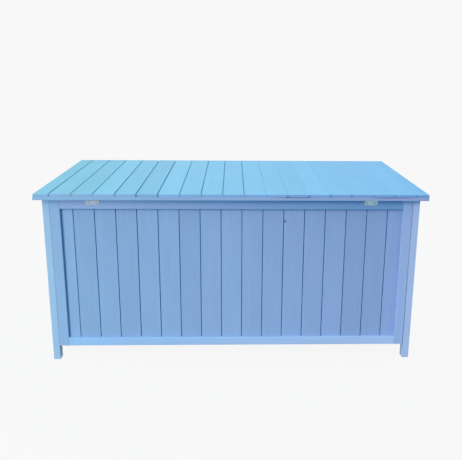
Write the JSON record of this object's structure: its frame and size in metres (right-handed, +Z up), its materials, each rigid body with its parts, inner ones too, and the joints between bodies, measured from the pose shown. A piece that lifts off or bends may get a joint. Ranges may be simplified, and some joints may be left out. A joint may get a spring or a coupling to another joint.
{
  "type": "storage chest",
  "caption": "Painted wooden storage chest: framed walls of matched upright boards on short legs, a boarded floor, and an overhanging boarded lid on butt hinges.",
  "frame": {"origin": "on the floor under the centre of the lid, level with the feet", "axes": "+X along the chest, to the right as seen from the side with the hinges; +Y from the side with the hinges to the side where the lid opens; +Z up"},
  "size_m": [1.2, 0.65, 0.551],
  "materials": {
    "lid_board_paint": "softwood under brushed light blue paint, satin, a little cyan",
    "lid_batten_paint": "softwood under brushed light blue paint, satin",
    "wall_board_paint": "softwood under brushed light blue paint, satin",
    "frame_paint": "planed softwood under brushed light blue paint, satin",
    "floor_paint": "softwood under one thin coat of light blue paint",
    "hinge_zinc": "zinc-plated pressed steel",
    "screw_zinc": "zinc-plated steel",
    "nail_steel": "bright wire nail steel",
    "dowel_beech": "bare beech"
  },
  "bodies": {
    "chest": {"body_nails": "nail_steel", "far_side_boards": "wall_board_paint", "far_side_bottom_rail": "frame_paint", "far_side_left_leg": "frame_paint", "far_side_left_stile": "frame_paint", "far_side_right_leg": "frame_paint", "far_side_right_stile": "frame_paint", "far_side_top_rail": "frame_paint", "floor_bearer_far_side": "floor_paint", "floor_bearer_hinge_side": "floor_paint", "floor_bearer_middle": "floor_paint", "floor_boards": "floor_paint", "frame_screws": "screw_zinc", "hinge_left_pin": "hinge_zinc", "hinge_left_rail_leaf": "hinge_zinc", "hinge_rail_screws": "screw_zinc", "hinge_right_pin": "hinge_zinc", "hinge_right_rail_leaf": "hinge_zinc", "hinge_side_boards": "wall_board_paint", "hinge_side_bottom_rail": "frame_paint", "hinge_side_left_leg": "frame_paint", "hinge_side_left_stile": "frame_paint", "hinge_side_right_leg": "frame_paint", "hinge_side_right_stile": "frame_paint", "hinge_side_top_rail": "frame_paint", "left_end_boards": "wall_board_paint", "left_end_bottom_rail": "frame_paint", "left_end_top_rail": "frame_paint", "rail_dowels": "dowel_beech", "right_end_boards": "wall_board_paint", "right_end_bottom_rail": "frame_paint", "right_end_top_rail": "frame_paint"},
    "lid": {"hinge_left_lid_leaf": "hinge_zinc", "hinge_lid_screws": "screw_zinc", "hinge_right_lid_leaf": "hinge_zinc", "lid_batten_far_side": "lid_batten_paint", "lid_batten_hinge_side": "lid_batten_paint", "lid_batten_left": "lid_batten_paint", "lid_batten_middle": "lid_batten_paint", "lid_batten_right": "lid_batten_paint", "lid_board_01": "lid_board_paint", "lid_board_02": "lid_board_paint", "lid_board_03": "lid_board_paint", "lid_board_04": "lid_board_paint", "lid_board_05": "lid_board_paint", "lid_board_06": "lid_board_paint", "lid_board_07": "lid_board_paint", "lid_board_08": "lid_board_paint", "lid_board_09": "lid_board_paint", "lid_board_10": "lid_board_paint", "lid_board_11": "lid_board_paint", "lid_board_12": "lid_board_paint", "lid_board_13": "lid_board_paint", "lid_board_14": "lid_board_paint", "lid_board_15": "lid_board_paint", "lid_board_16": "lid_board_paint", "lid_board_17": "lid_board_paint", "lid_board_18": "lid_board_paint", "lid_board_19": "lid_board_paint", "lid_nails": "nail_steel"}
  },
  "joints": [
    {"name": "lid_hinge", "type": "hinge", "parent": "chest", "child": "lid", "pos_m": [0, -0.30705, 0.52895], "axis": [1, 0, 0], "range_deg": [0, 108]}
  ]
}
